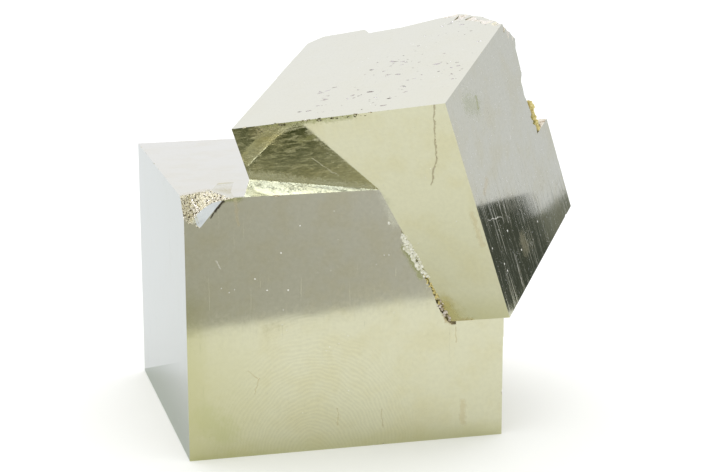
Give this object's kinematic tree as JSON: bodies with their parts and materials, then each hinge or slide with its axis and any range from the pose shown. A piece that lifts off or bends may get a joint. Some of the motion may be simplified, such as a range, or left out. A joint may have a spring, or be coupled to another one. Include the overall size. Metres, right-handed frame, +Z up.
{
  "type": "pyrite crystal specimen",
  "caption": "Hand-sized mineral specimen of intergrown pyrite cubes, a smaller tilted cube growing through the corner of a larger one, with a mineral-filled seam.",
  "frame": {"origin": "under the middle of the specimen's bounding box, on the surface that the larger crystal rests on", "axes": "+Z up, square to the larger crystal's base; the larger crystal's front face looks towards -Y, and the smaller crystal overhangs it towards +X"},
  "size_m": [0.044, 0.0378, 0.0411],
  "materials": {
    "lower_pyrite": "polished",
    "upper_pyrite": "polished",
    "seam_mineral": "matte",
    "limonite": "matte",
    "calcite": "satin"
  },
  "bodies": {
    "root": {"lower_crystal": "lower_pyrite", "upper_crystal": "upper_pyrite", "seam_filling": "seam_mineral", "step_crust": "limonite", "ledge_grain": "calcite"}
  },
  "joints": []
}
